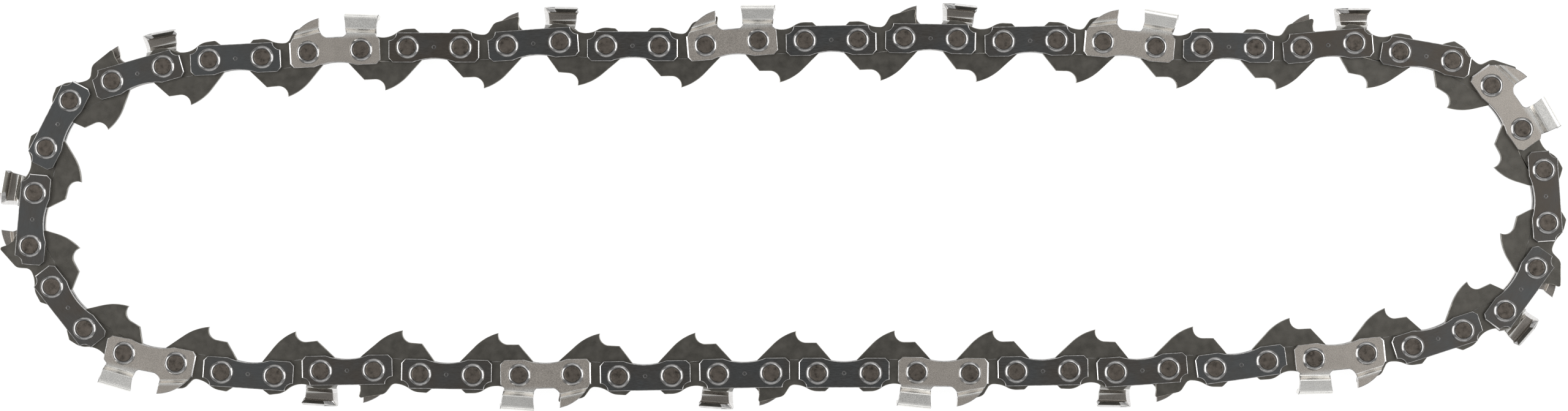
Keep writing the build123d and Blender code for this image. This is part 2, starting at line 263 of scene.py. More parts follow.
class SawChainSizes(bpy.types.PropertyGroup):
    """Small sizes of the links that a user may change."""

    worn_edge: FloatProperty(
        name="Worn edge", description="Width of the rounded bright edges of straps and cutters",
        default=0.00011, min=0.00002, max=0.0003, precision=5, unit="LENGTH",
    )
    drive_edge: FloatProperty(
        name="Drive link edge", description="Width of the rounded edges of drive links",
        default=0.0001, min=0.00002, max=0.0003, precision=5, unit="LENGTH",
    )
    # End and front bevels: their near-white finish is a painted highlight
    end_bevel: FloatProperty(
        name="End bevel", description="Width of the bright bevel at the rear end of the tie straps",
        default=0.0002, min=0.00005, max=0.0004, precision=5, unit="LENGTH",
    )
    front_bevel: FloatProperty(
        name="Front bevel", description="Width of the bright bevel on the front end of a cutter",
        default=0.0003, min=0.00002, max=0.0005, precision=5, unit="LENGTH",
    )
    coin_step: FloatProperty(
        name="Coined step", description="How far a drive link's upper half lies below its tang",
        default=0.00005, min=0.0, max=0.0002, precision=5, unit="LENGTH",
    )
    ground_bevel: FloatProperty(
        name="Ground bevel", description="Width of the sharpened bevel along a cutter's front edge",
        default=0.0008, min=0.0002, max=0.001, precision=5, unit="LENGTH",
    )
    punch_radius: FloatProperty(
        name="Punch mark", description="Radius of the round punch mark in the middle of a strap",
        default=0.00042, min=0.0002, max=0.001, precision=5, unit="LENGTH",
    )
    punch_depth: FloatProperty(
        name="Punch depth", description="Depth of the round punch mark",
        default=0.00007, min=0.0, max=0.0003, precision=5, unit="LENGTH",
    )


class SawChainColours(bpy.types.PropertyGroup):
    """Colours of the steels and of the table."""

    strap: FloatVectorProperty(
        name="Strap", description="Blued steel of the tie straps",
        default=(0.157, 0.154, 0.15), min=0.0, max=1.0, subtype="COLOR",
    )
    cutter: FloatVectorProperty(
        name="Cutter", description="Satin plating of the cutters",
        default=(0.57, 0.525, 0.475), min=0.0, max=1.0, subtype="COLOR",
    )
    # Heel: the light end of the painted highlight on the cutters' heels, top plates and folds
    heel: FloatVectorProperty(
        name="Heel", description="Lighter plating of the cutters' heels and top plates",
        default=(0.84, 0.83, 0.8), min=0.0, max=1.0, subtype="COLOR",
    )
    drive: FloatVectorProperty(
        name="Drive link", description="Dark heat-treated steel of the drive links",
        default=(0.155, 0.147, 0.13), min=0.0, max=1.0, subtype="COLOR",
    )
    bright: FloatVectorProperty(
        name="Bright steel", description="Worn edges, ground bevels and rivet rims",
        default=(0.72, 0.71, 0.7), min=0.0, max=1.0, subtype="COLOR",
    )
    core: FloatVectorProperty(
        name="Rivet core", description="Brown oxide in the middle of the rivets",
        default=(0.113, 0.098, 0.084), min=0.0, max=1.0, subtype="COLOR",
    )
    table: FloatVectorProperty(
        name="Table", description="Pale light table that the chain lies on",
        default=(0.97, 0.97, 0.97), min=0.0, max=1.0, subtype="COLOR",
    )


def in_mm(length):
    """A property's length in metres, as millimetres."""
    return length / MM


def moved(point, reach, heading):
    """A point moved by a distance at a heading in radians."""
    return (point[0] + reach * cos(heading), point[1] + reach * sin(heading))


def shifted(along, *points):
    """Points moved along the chain."""
    return [(x + along, y) for x, y in points]


def chord(start, end):
    """Length and heading of the line between two points, the heading in radians."""
    across, up = end[0] - start[0], end[1] - start[1]
    return hypot(across, up), atan2(up, across)


def wrapped(angle):
    """An angle in radians, brought to less than half a turn either way."""
    return (angle + pi) % (2 * pi) - pi


def corner_turn(before, corner, after):
    """Heading at which an outline arrives at a corner, and half of its turn there."""
    arrive, leave = chord(before, corner)[1], chord(corner, after)[1]
    return arrive, wrapped(leave - arrive) / 2


def arc(center, radius, start, sweep, steps=ARC_STEPS):
    """Points of an arc about a center, by its start angle and sweep in degrees."""
    angles = [radians(start + sweep * step / steps) for step in range(steps + 1)]
    return [moved(center, radius, angle) for angle in angles]


def arc_from(start, end, heading, steps=ARC_STEPS):
    """Points of the arc that leaves a point at a heading in radians and ends at another point."""
    length, straight = chord(start, end)
    half_turn = wrapped(straight - heading)
    turns = [half_turn * step / steps for step in range(steps + 1)]
    return [moved(start, length * sin(turn) / sin(half_turn), heading + turn) for turn in turns]


def arc_through(start, middle, end, steps=ARC_STEPS):
    """Points of the arc through three points."""
    half_turn = wrapped(chord(middle, end)[1] - chord(start, middle)[1])
    return arc_from(start, end, chord(start, end)[1] - half_turn, steps)


def clockwise_arc(center, radius, start, end):
    """Points of an arc, clockwise from the start angle to the end angle in degrees."""
    return arc(center, radius, start, (end - start) % 360 - 360, 2 * ARC_STEPS)


def rounded(before, corner, after, radius):
    """Points of the arc that rounds the corner between two straight edges."""
    arrive, half_turn = corner_turn(before, corner, after)
    reach = radius * tan(abs(half_turn))
    leave = chord(corner, after)[1]
    return arc_from(moved(corner, -reach, arrive), moved(corner, reach, leave), arrive)


def tangent_angle(center, radius, point, side):
    """Angle on a circle where the line from a point outside touches it, on the side +1 or -1."""
    length, heading = chord(center, point)
    return degrees(heading + side * acos(radius / length))


def without_repeats(points):
    """A closed outline without neighbouring points that coincide."""
    kept = []
    for point in points:
        if not kept or chord(kept[-1], point)[0] > TOUCH:
            kept.append(point)
    if chord(kept[-1], kept[0])[0] < TOUCH:
        kept.pop()
    return kept


def cut_outline(outline, height, side):
    """The part of an outline above a height for side +1, or below it for side -1."""
    kept = []
    for start, end in zip(outline, outline[1:] + outline[:1]):
        start_inside = (start[1] - height) * side >= 0
        end_inside = (end[1] - height) * side >= 0
        if start_inside:
            kept.append(start)
        if start_inside != end_inside:
            share = (height - start[1]) / (end[1] - start[1])
            kept.append((start[0] + share * (end[0] - start[0]), height))
    return without_repeats(kept)


def inset(outline, distances):
    """A counter-clockwise outline drawn in by a distance at each of its points."""
    drawn_in = []
    for index, point in enumerate(outline):
        after = outline[(index + 1) % len(outline)]
        arrive, half_turn = corner_turn(outline[index - 1], point, after)
        reach = distances[index] / max(cos(half_turn), MITRE_LEAST)
        drawn_in.append(moved(point, reach, arrive + half_turn + pi / 2))
    return drawn_in


def bevel_foot(outline, distances, ground):
    """Inner end of the bevels along an outline: ground edges are drawn in along the chain."""
    square = inset(outline, distances)
    return [
        (x + reach, y) if sharp else corner
        for (x, y), reach, sharp, corner in zip(outline, distances, ground, square)
    ]


def drive_outline(bumper):
    """Counter-clockwise outline of a drive link, with or without the bumper ramp."""
    left, right = (-DRIVE_PITCH / 2, 0), (DRIVE_PITCH / 2, 0)
    left_corner = (left[0] - HUMP_CORNER_X, HUMP_HEIGHT)
    right_corner = (right[0] + HUMP_CORNER_X, HUMP_HEIGHT)
    saddle = (0, RAMP_DIP_HEIGHT if bumper else SADDLE_HEIGHT)
    dip = HUMP_HEIGHT - saddle[1]
    saddle_radius = (right[0] ** 2 + saddle[1] ** 2 - HUMP_HEIGHT**2) / (2 * dip)
    saddle_angle = degrees(atan2(saddle[1] + saddle_radius, right[0]))
    left_flank = tangent_angle(left, END_RADIUS, TANG_HEEL_START, -1)
    left_shoulder = tangent_angle(left, END_RADIUS, left_corner, 1)
    right_flank = tangent_angle(right, END_RADIUS, TANG_FLANK, 1)
    right_shoulder = tangent_angle(right, END_RADIUS, right_corner, -1)
    left_end = clockwise_arc(left, END_RADIUS, left_flank, left_shoulder)
    right_start = RAMP_END_ANGLE if bumper else right_shoulder
    right_end = clockwise_arc(right, END_RADIUS, right_start, right_flank)
    left_hump = clockwise_arc(left, HUMP_HEIGHT, 90, saddle_angle)
    points = left_end + rounded(left_end[-1], left_corner, left_hump[0], HUMP_CORNER_RADIUS)
    points += left_hump
    if bumper:
        foot, knee, peak, notch = shifted(right[0], RAMP_FOOT, RAMP_KNEE, RAMP_PEAK, RAMP_NOTCH)
        points += arc_from(left_hump[-1], saddle, radians(saddle_angle - 90))
        points += arc_from(saddle, foot, 0)
        points += rounded(foot, knee, peak, RAMP_KNEE_RADIUS)
        points += rounded(knee, peak, notch, RAMP_PEAK_RADIUS) + [notch]
    else:
        right_hump = clockwise_arc(right, HUMP_HEIGHT, 180 - saddle_angle, 90)
        points += arc_through(left_hump[-1], saddle, right_hump[0]) + right_hump
        points += rounded(right_hump[-1], right_corner, right_end[0], HUMP_CORNER_RADIUS)
    points += right_end + arc_from(TANG_FLANK, TANG_TIP, chord(right_end[-1], TANG_FLANK)[1])
    points += arc_from(TANG_HEEL_END, TANG_TIP, 0)[::-1] + [TANG_HEEL_START]
    return without_repeats(points)[::-1]


def lower_edge(left_height, right_height):
    """Ends, chamfers and waisted lower edge of a side plate, from one end's top to the other's."""
    corner, end_foot = PLATE_END - PLATE_CHAMFER, PLATE_CHAMFER - PLATE_BOTTOM
    waist_left = (-WAIST_HALF_LENGTH, -PLATE_BOTTOM)
    waist_right = (WAIST_HALF_LENGTH, -PLATE_BOTTOM)
    return [
        (-PLATE_END, left_height), (-PLATE_END, end_foot), (-corner, -PLATE_BOTTOM),
        *arc_through(waist_left, (0, -WAIST_HEIGHT), waist_right),
        (corner, -PLATE_BOTTOM), (PLATE_END, end_foot), (PLATE_END, right_height),
    ]


def strap_outline():
    """Counter-clockwise outline of a tie strap."""
    shoulder = PLATE_TOP - PLATE_SCALLOP
    right_scallop = arc((PLATE_END, PLATE_TOP), PLATE_SCALLOP, 270, -90)
    left_scallop = arc((-PLATE_END, PLATE_TOP), PLATE_SCALLOP, 0, -90)
    return without_repeats(lower_edge(shoulder, shoulder) + right_scallop + left_scallop)


def heel_level(point):
    """Height of a point of the unfolded heel, counted along the top plate's slope."""
    return point[1] - TOP_SLOPE * (point[0] - REAR_RIVET)


def from_level(along, level):
    """Point of the unfolded heel at a distance along the chain and a height along the slope."""
    return (along, level + TOP_SLOPE * (along - REAR_RIVET))


def inner_corner(level):
    """Height and face of the heel's inner side at a level, about the radius inside its fold."""
    start = TOP_HEIGHT - TOP_THICKNESS - TOP_INNER_RADIUS
    face = HEEL_FACE - PLATE_THICKNESS - TOP_INNER_RADIUS
    end = CORNER_END + HEEL_FACE - TOP_CORNER_RADIUS - face
    angle = pi / 2 * min(max((level - start) / (end - start), 0), 1)
    height = min(level, start) + TOP_INNER_RADIUS * sin(angle)
    return height, face + TOP_INNER_RADIUS * cos(angle) - max(level - end, 0)


def heel_front():
    """Front edge of the unfolded heel upwards: its fillet, its side and the top plate's edge."""
    gullet = (REAR_RIVET + HEEL_GULLET_X, CUTTER_BODY_TOP)
    foot, hollow, tip = shifted(REAR_RIVET, HEEL_FOOT, HEEL_HOLLOW, CUTTING_TIP)
    fillet = arc_from(gullet, foot, 0)
    side = [p for p in arc_through(foot, hollow, tip) if heel_level(p) < CORNER_START]
    lean = tan(radians(TOP_EDGE_ANGLE))
    flap = []
    for row in range(CORNER_ROWS + 1):
        angle = pi / 2 * row / CORNER_ROWS
        edge_x = side[-1][0] + (tip[0] - side[-1][0]) * sin(angle)
        edge_x += TOP_CORNER_RADIUS * (1 - cos(angle)) * lean
        flap.append(from_level(edge_x, CORNER_START + TOP_CORNER_RADIUS * angle))
    flap.append(from_level(tip[0] + TOP_WIDTH * lean, FLAP_END))
    return fillet, side, flap


def cutter_outline():
    """Counter-clockwise outline of the unfolded cutter.

    With it come, for each point, whether it is on the ground edge and on the top plate's far edge.
    """
    shoulder, corner = CUTTER_BODY_TOP - CUTTER_CORNER, PLATE_END - CUTTER_CORNER
    toe, crown, tip, drop = shifted(FRONT_RIVET, GAUGE_TOE, GAUGE_CROWN, GAUGE_TIP, GAUGE_DROP)
    gullet = (FRONT_RIVET + GAUGE_GULLET_X, CUTTER_BODY_TOP)
    fillet, side, flap = heel_front()
    rear = REAR_RIVET + TOP_REAR[0]
    rear_edge = [from_level(rear, FLAP_END), from_level(rear, CORNER_END)]
    heel_rear = (REAR_RIVET + HEEL_REAR_X, CUTTER_BODY_TOP)
    gauge_back = arc_from(gullet, drop, pi)
    gauge_front = arc_through(toe, crown, tip, 2 * ARC_STEPS)[::-1]
    dull = lower_edge(toe[1], shoulder) + [(corner, CUTTER_BODY_TOP), heel_rear]
    sharp = (side + flap)[::-1]
    rest = fillet[::-1] + gauge_back + gauge_front
    outline = without_repeats(dull + rear_edge[::-1] + sharp + rest)
    ground, far_edge = set(sharp[1:]), {sharp[0], rear_edge[0]}
    return outline, [point in ground for point in outline], [point in far_edge for point in outline]


def fold_share(level, bend, inwards):
    """How far a bend has turned at a level: straight in the middle and rounded at both ends.

    On the inner face, where inwards is 1, it turns a little higher up.
    """
    start, end = bend
    share = min(max((level - start - BEND_RISE * inwards) / (end - start), 0), 1)
    if share < BEND_ROUNDING:
        return share**2 / (2 * BEND_ROUNDING * (1 - BEND_ROUNDING))
    if share > 1 - BEND_ROUNDING:
        return 1 - (1 - share) ** 2 / (2 * BEND_ROUNDING * (1 - BEND_ROUNDING))
    return (share - BEND_ROUNDING / 2) / (1 - BEND_ROUNDING)


def folded(point):
    """Where a point of the unfolded cutter goes when its gauge, heel and top plate are folded."""
    x, y, z = point
    inwards = (PLATE_OUT - z) / PLATE_THICKNESS
    if x < GULLET_MIDDLE:
        level = y - GAUGE_BEND_SLOPE * (x - FRONT_RIVET)
        return Vector((x, y, z + GAUGE_SET * fold_share(level, GAUGE_BEND, inwards)))
    level = heel_level(point)
    inner_height, inner_face = inner_corner(level)
    if level < CORNER_START:
        height = level + (inner_height - level) * inwards
        turned_in = (HEEL_FACE - PLATE_THICKNESS - inner_face) * inwards
        set_out = CUTTER_SET * fold_share(level, HEEL_BEND, inwards)
        return Vector((*from_level(x, height), z + set_out - turned_in))
    angle = min((level - CORNER_START) / TOP_CORNER_RADIUS, pi / 2)
    outer_height = CORNER_START + TOP_CORNER_RADIUS * sin(angle)
    outer_face = HEEL_FACE - TOP_CORNER_RADIUS * (1 - cos(angle)) - max(level - CORNER_END, 0)
    height = outer_height + (inner_height - outer_height) * inwards
    return Vector((*from_level(x, height), outer_face + (inner_face - outer_face) * inwards))


def crease_rows(rows, margins):
    """Numbers of the creases across a fold, with those before and after it."""
    return range(-margins[0], rows + margins[1] + 1)


class SheetMetal:
    """Mesh of one link while it is made, in millimetres, with a finish for every face."""

    def __init__(self):
        self.mesh = bmesh.new()
        self.finishes = []

    def face(self, corners, finish):
        """Adds one face with a finish."""
        if finish not in self.finishes:
            self.finishes.append(finish)
        self.mesh.faces.new(corners).material_index = self.finishes.index(finish)

    def ring(self, outline, heights):
        """Adds the corners of an outline at their heights."""
        return [self.mesh.verts.new((x, y, z)) for (x, y), z in zip(outline, heights)]

    def circle(self, center, radius, height, steps, turn):
        """Adds the corners of a level circle, counter-clockwise for turn +1 or clockwise for -1."""
        return self.ring(arc(center, radius, 0, 360 * turn, steps)[:-1], [height] * steps)

    def bridge(self, upper, lower, finishes):
        """Joins two rings by a wall, with the finish of each of its faces."""
        for index, finish in enumerate(finishes):
            self.face([upper[index - 1], lower[index - 1], lower[index], upper[index]], finish)

    def cap(self, rings, facing, finish):
        """Fills an outline ring, less the hole rings after it, facing up for +1 or down for -1."""
        corners = [corner for ring in rings for corner in ring]
        flat = [[Vector((*corner.co.xy, 0)) for corner in ring] for ring in rings]
        for triangle in tessellate_polygon(flat):
            a, b, c = (corners[index] for index in triangle)
            turn = (b.co.xy - a.co.xy).cross(c.co.xy - a.co.xy)
            self.face([a, b, c] if turn * facing > 0 else [a, c, b], finish)

    def plate(
        self, outline, holes, low, high, ease, finish, edge,
        ground=None, bevel=0, undercut=None, wide_end=None, mark=None,
    ):
        """Adds a flat plate with rounded edges and holes.

        Ground points get a wide bevel towards the lower face. Undercut points get a bevel of
        painted shade that leaves a thin, highlighted edge at the upper face. A wide end is the x of
        an end of the plate and the width of the painted highlight bevel along its upper edge.
        A mark is a punch mark's radius and depth.
        """
        count = len(outline)
        ground = ground or [False] * count
        undercut = undercut or [False] * count
        end_x, end_width = wide_end or (None, 0)
        at_end = [wide_end is not None and abs(x - end_x) < TOUCH for x, _ in outline]

        def by_edge(at_ground, at_undercut, elsewhere):
            """A value for each point of the outline, by its kind of edge."""
            return [
                at_ground if sharp else at_undercut if deep else elsewhere
                for sharp, deep in zip(ground, undercut)
            ]

        def along(marks):
            """Whether each side of the outline joins two marked points."""
            return [marks[index] and marks[index - 1] for index in range(count)]

        soft = by_edge(ease * GROUND_EASE, UNDERCUT_ROUNDING, ease)
        soft = [end_width if end else width for end, width in zip(at_end, soft)]
        wide = by_edge(bevel, UNDERCUT_DEPTH, ease)
        wall_foot = by_edge(high - ease, high - UNDERCUT_EDGE, low + ease)
        slanted = by_edge(True, True, False)
        bevel_height = [
            foot + (low - foot) * BEVEL_TURN if slant else low + BEVEL_TURN * width
            for width, slant, foot in zip(wide, slanted, wall_foot)
        ]
        # Painted highlight: near-white edge finish on the wide end and above the undercut
        bright = [end or deep for end, deep in zip(at_end, undercut)]
        edges = ["bright_edge" if both else edge for both in along(bright)]
        walls = [edge if sharp else finish for sharp in along(ground)]
        # Painted shade: bevels under the top plate's far edge take the dark drive-link steel
        bevels = [
            "ground_edge" if sharp else "drive_steel" if deep else edge
            for sharp, deep in zip(along(ground), along(undercut))
        ]
        ridge, ridge_height = [EASE_IN * s for s in soft], [high - EASE_DOWN * s for s in soft]
        rings = [
            self.ring(inset(outline, soft), [high] * count),
            self.ring(inset(outline, ridge), ridge_height),
            self.ring(outline, [high - s for s in soft]),
            self.ring(outline, wall_foot),
            self.ring(bevel_foot(outline, [BEVEL_TURN * w for w in wide], ground), bevel_height),
            self.ring(bevel_foot(outline, wide, ground), [low] * count),
        ]
        for upper, lower, faces in zip(rings, rings[1:], [edges, edges, walls, bevels, bevels]):
            self.bridge(upper, lower, faces)
        tops, bottoms = [rings[0]], [rings[-1]]
        for center, radius in holes:
            tops.append(self.circle(center, radius, high, HOLE_STEPS, -1))
            bottoms.append(self.circle(center, radius, low, HOLE_STEPS, -1))
            self.bridge(tops[-1], bottoms[-1], [edge] * HOLE_STEPS)
        if mark:
            tops.append(self.punch_mark(high, finish, *mark))
        self.cap(tops, 1, finish)
        self.cap(bottoms, -1, finish)

    def punch_mark(self, height, finish, radius, depth):
        """Adds a round groove about the middle of a plate, and returns its outer ring."""
        rings = [
            self.circle((0, 0), radius * share, height - depth * sunk, HOLE_STEPS, -1)
            for share, sunk in PUNCH_PROFILE
        ]
        for upper, lower in zip(rings, rings[1:]):
            self.bridge(upper, lower, ["worn_edge"] * HOLE_STEPS)
        self.cap([rings[-1]], 1, finish)
        return rings[0]

    def turned(self, center, profile, finishes):
        """Adds a turned piece about an upright axis, closed at both ends.

        The profile gives the radius and height of its rings from top to bottom, and the finishes
        are those of the bands between them.
        """
        (_, top), *middle, (_, bottom) = profile
        tip = self.mesh.verts.new((*center, top))
        rings = [self.circle(center, *ring, RIVET_STEPS, 1) for ring in middle]
        foot = self.mesh.verts.new((*center, bottom))
        for index in range(RIVET_STEPS):
            self.face([tip, rings[0][index - 1], rings[0][index]], finishes[0])
        for upper, lower, finish in zip(rings, rings[1:], finishes[1:]):
            self.bridge(upper, lower, [finish] * RIVET_STEPS)
        for index in range(RIVET_STEPS):
            self.face([rings[-1][index - 1], foot, rings[-1][index]], finishes[-1])

    def crease(self, rivet, level, slope):
        """Cuts the faces on a rivet's side of the gullet along a plane, so that they can bend."""
        side = 1 if rivet > GULLET_MIDDLE else -1
        faces = [
            face for face in self.mesh.faces
            if (face.calc_center_median().x - GULLET_MIDDLE) * side > 0
        ]
        parts = {part for face in faces for part in (*face.verts, *face.edges)} | set(faces)
        bmesh.ops.bisect_plane(
            self.mesh, geom=list(parts), dist=CUT_TOUCH,
            plane_co=(rivet, level, 0), plane_no=(-slope, 1, 0),
        )

    def refinish(self, corners, old, new, pick):
        """Gives another finish to the faces of a finish at these corners whose middle is picked."""
        self.finishes.append(new)
        for face in {face for corner in corners for face in corner.link_faces}:
            if self.finishes[face.material_index] == old and pick(face.calc_center_median()):
                face.material_index = self.finishes.index(new)

    def on_far_side(self, add):
        """Calls a function that adds a piece on the near side, and turns the piece over."""
        corners, faces = set(self.mesh.verts), set(self.mesh.faces)
        add(self)
        for corner in set(self.mesh.verts) - corners:
            corner.co.z *= -1
        for face in set(self.mesh.faces) - faces:
            face.normal_flip()

    def finished(self, name):
        """The link's mesh in metres, smooth across its round stretches."""
        bmesh.ops.scale(self.mesh, vec=(MM, MM, MM), verts=self.mesh.verts)
        mesh = bpy.data.meshes.new(name)
        self.mesh.to_mesh(mesh)
        self.mesh.free()
        places = [part / MM for corner in mesh.vertices for part in corner.co]
        mesh.attributes.new(LINK_PLACE, "FLOAT_VECTOR", "POINT").data.foreach_set("vector", places)
        for finish in self.finishes:
            mesh.materials.append(steel(finish))
        mesh.shade_smooth()
        mesh.set_sharp_from_angle(angle=radians(SMOOTH_ANGLE))
        return mesh


def add_strap(link):
    """Tie strap on the near side, with rounded bright edges and its punch mark."""
    sizes = bpy.context.scene.saw_chain_sizes
    mark = (in_mm(sizes.punch_radius), in_mm(sizes.punch_depth))
    # Its rear end bevel is a painted highlight
    link.plate(
        strap_outline(), PLATE_HOLES, PLATE_IN, PLATE_OUT, in_mm(sizes.worn_edge),
        "strap_steel", "worn_edge", wide_end=(PLATE_END, in_mm(sizes.end_bevel)), mark=mark,
    )


def add_far_strap(link):
    """Tie strap on the far side."""
    link.on_far_side(add_strap)


def add_cutter(link):
    """Cutter on the near side, cut out flat and then folded."""
    sizes = bpy.context.scene.saw_chain_sizes
    corners = set(link.mesh.verts)
    outline, ground, undercut = cutter_outline()
    # Painted highlight on the front end bevel and the top plate's far edge, painted shade under it
    link.plate(
        outline, PLATE_HOLES, PLATE_IN, PLATE_OUT, in_mm(sizes.worn_edge),
        "cutter_plating", "worn_edge", ground, in_mm(sizes.ground_bevel), undercut,
        wide_end=(-PLATE_END, in_mm(sizes.front_bevel)),
    )
    for row in crease_rows(FOLD_ROWS, FOLD_MARGINS):
        share = row / FOLD_ROWS
        gauge_level = GAUGE_BEND[0] + (GAUGE_BEND[1] - GAUGE_BEND[0]) * share
        link.crease(FRONT_RIVET, gauge_level, GAUGE_BEND_SLOPE)
        side_level = HEEL_BEND[0] + (HEEL_BEND[1] - HEEL_BEND[0]) * share
        link.crease(REAR_RIVET, side_level, TOP_SLOPE)
    for row in crease_rows(CORNER_ROWS, CORNER_MARGINS):
        level = CORNER_START + (CORNER_END - CORNER_START) * row / CORNER_ROWS
        link.crease(REAR_RIVET, level, TOP_SLOPE)
    flat = set(link.mesh.verts) - corners
    inner = PLATE_IN + TOUCH
    # Painted shade: the cutter's inner faces take a darker copy of its plating
    link.refinish(flat, "cutter_plating", "shaded_inner_plating", lambda middle: middle.z < inner)
    for corner in flat:
        corner.co = folded(corner.co)
    bmesh.ops.remove_doubles(link.mesh, verts=list(flat), dist=TOUCH)
    bmesh.ops.dissolve_degenerate(link.mesh, dist=TOUCH, edges=link.mesh.edges)


def add_far_cutter(link):
    """Cutter on the far side."""
    link.on_far_side(add_cutter)


def add_rivets(link):
    """Both rivets of a side link, through both plates."""
    near = [(radius, PLATE_OUT + height) for radius, height in RIVET_CORE + RIVET_RIM]
    far = [(radius, -height) for radius, height in near[::-1]]
    head = ["rivet_core"] * (len(RIVET_CORE) - 1) + ["rivet_ring"] * len(RIVET_RIM)
    for center, _ in PLATE_HOLES:
        link.turned(center, near + far, head + ["rivet_ring"] + head[::-1])


def add_drive_plate(link, bumper=False):
    """Drive link between the plates: its upper half and the coined tang, a little thicker."""
    sizes = bpy.context.scene.saw_chain_sizes
    ease, hub_face = in_mm(sizes.drive_edge), DRIVE_FACE - in_mm(sizes.coin_step)
    outline = drive_outline(bumper)
    tang = cut_outline(outline, COIN_LINE, -1)
    link.plate(tang, [], -DRIVE_FACE, DRIVE_FACE, ease, "drive_steel", "drive_edge")
    # Painted highlight: the tang's top edge at the coined step gets the brighter worn-edge steel
    highlit_above = COIN_LINE - ease
    link.refinish(link.mesh.verts, "drive_edge", "worn_edge", lambda middle: middle.y > highlit_above)
    hub = cut_outline(outline, COIN_LINE, 1)
    foot = [index for index, point in enumerate(hub) if abs(point[1] - COIN_LINE) < TOUCH]
    left = min(foot, key=lambda index: hub[index][0])
    start = hub[left][0] + COIN_TONGUE_INSET
    end = max(hub[index][0] for index in foot) - COIN_TONGUE_INSET
    low = COIN_LINE - COIN_TONGUE
    tongue = [(start, COIN_LINE), (start, low), (end, low), (end, COIN_LINE)]
    hub = hub[: left + 1] + tongue + hub[left + 1:]
    link.plate(hub, DRIVE_HOLES, -hub_face, hub_face, ease, "drive_steel", "drive_edge")


def add_bumper_plate(link):
    """Drive link with the ramp that rises beside a depth gauge."""
    add_drive_plate(link, bumper=True)


def station(number):
    """Station of a link round the loop: a side link and the drive link after it share one."""
    return (number + 1) // 2


def link_kind(number):
    """Kind of a link, numbered from 1 round the loop: side links are odd, drive links even."""
    if number % 2 == 0:
        return "drive_link" if station(number) % 2 else "bumper_link"
    if station(number) % 2 == 0:
        return "tie_link"
    return "far_cutter_link" if station(number) % 4 == 1 else "near_cutter_link"


def node_name(number):
    """Name of the node, and of the body, that holds a link."""
    for name, (first, last) in MIDDLE_RUNS.items():
        if first <= number <= last:
            return name
    return f"{link_kind(number)}_{station(number):02d}"


def link_headings():
    """Headings of the links round the loop, side link and drive link in turn."""
    first, last = (number - 1 for number in CLOSING_SIDES)
    given = [
        radians(heading)
        for index, heading in enumerate(SIDE_HEADINGS) if index not in (first, last)
    ]
    across, up = -sum(map(cos, given)), -sum(map(sin, given))
    middle, spread = degrees(atan2(up, across)), degrees(acos(hypot(across, up) / 2))
    sides = list(SIDE_HEADINGS)
    sides[first], sides[last] = middle + spread, middle - spread
    return [heading for pair in zip(sides, DRIVE_HEADINGS) for heading in pair]


def rivet_centers():
    """Rivet centres in metres in the frame. Link number n runs from rivet n to the next one."""
    first = next(joint["pos_m"] for joint in frame["joints"] if joint["name"] == "pivot_01")
    here = Vector(first)
    centers = []
    for number, heading in enumerate(link_headings(), start=1):
        centers.append(here.copy())
        length = (SIDE_PITCH if number % 2 else DRIVE_PITCH) * MM
        here += length * Vector((cos(radians(heading)), sin(radians(heading)), 0))
    return centers


def place_links(kind, slot, *pieces):
    """Makes a link from the functions that add its pieces, and lays a copy wherever it is due."""
    link = SheetMetal()
    for add in pieces:
        add(link)
    mesh = link.finished(kind)
    centers = rivet_centers()
    for number, heading in enumerate(link_headings(), start=1):
        if link_kind(number) != kind:
            continue
        middle = (centers[number - 1] + centers[number % len(centers)]) / 2
        laid = mesh.copy()
        laid.transform(Matrix.Translation(middle) @ Matrix.Rotation(radians(heading), 4, "Z"))
        piece = bpy.data.objects.new(f"dressed_{kind}_{station(number):02d}", laid)
        bpy.context.scene.collection.objects.link(piece)
        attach(piece, node_name(number))
        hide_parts(node_name(number))
    bpy.data.meshes.remove(mesh)


class NodeTree:
    """Shader nodes of a material or a world while they are made."""

    def __init__(self, owner):
        owner.use_nodes = True
        self.tree = owner.node_tree

    def add(self, kind, inputs=None, **settings):
        """Adds a node, sets its settings, and sets or links its inputs."""
        node = self.tree.nodes.new(kind)
        for key, value in settings.items():
            setattr(node, key, value)
        for key, value in (inputs or {}).items():
            if isinstance(value, bpy.types.NodeSocket):
                self.tree.links.new(value, node.inputs[key])
            else:
                node.inputs[key].default_value = value
        return node

    def math(self, operation, *values):
        """Result of an operation on values."""
        return self.add("ShaderNodeMath", dict(enumerate(values)), operation=operation).outputs[0]

    def vectors(self, operation, *values):
        """Result of an operation on vectors or colours."""
        node = self.add("ShaderNodeVectorMath", dict(enumerate(values)), operation=operation)
        return node.outputs[0]

    def spread(self, value, low, high, ends=NOISE_ENDS, **settings):
        """Value from low to high while another one goes from end to end."""
        sockets = ("Value", "From Min", "From Max", "To Min", "To Max")
        inputs = dict(zip(sockets, (value, *ends, low, high)))
        return self.add("ShaderNodeMapRange", inputs, **settings).outputs["Result"]

    def ramp(self, value, stops):
        """Colour by a value, from stops of position and colour."""
        node = self.add("ShaderNodeValToRGB", {"Fac": value})
        elements = node.color_ramp.elements
        while len(elements) < len(stops):
            elements.new(stops[1][0])
        for element, (position, colour) in zip(elements, stops):
            element.position = position
            element.color = (*colour, 1)
        return node.outputs["Color"]


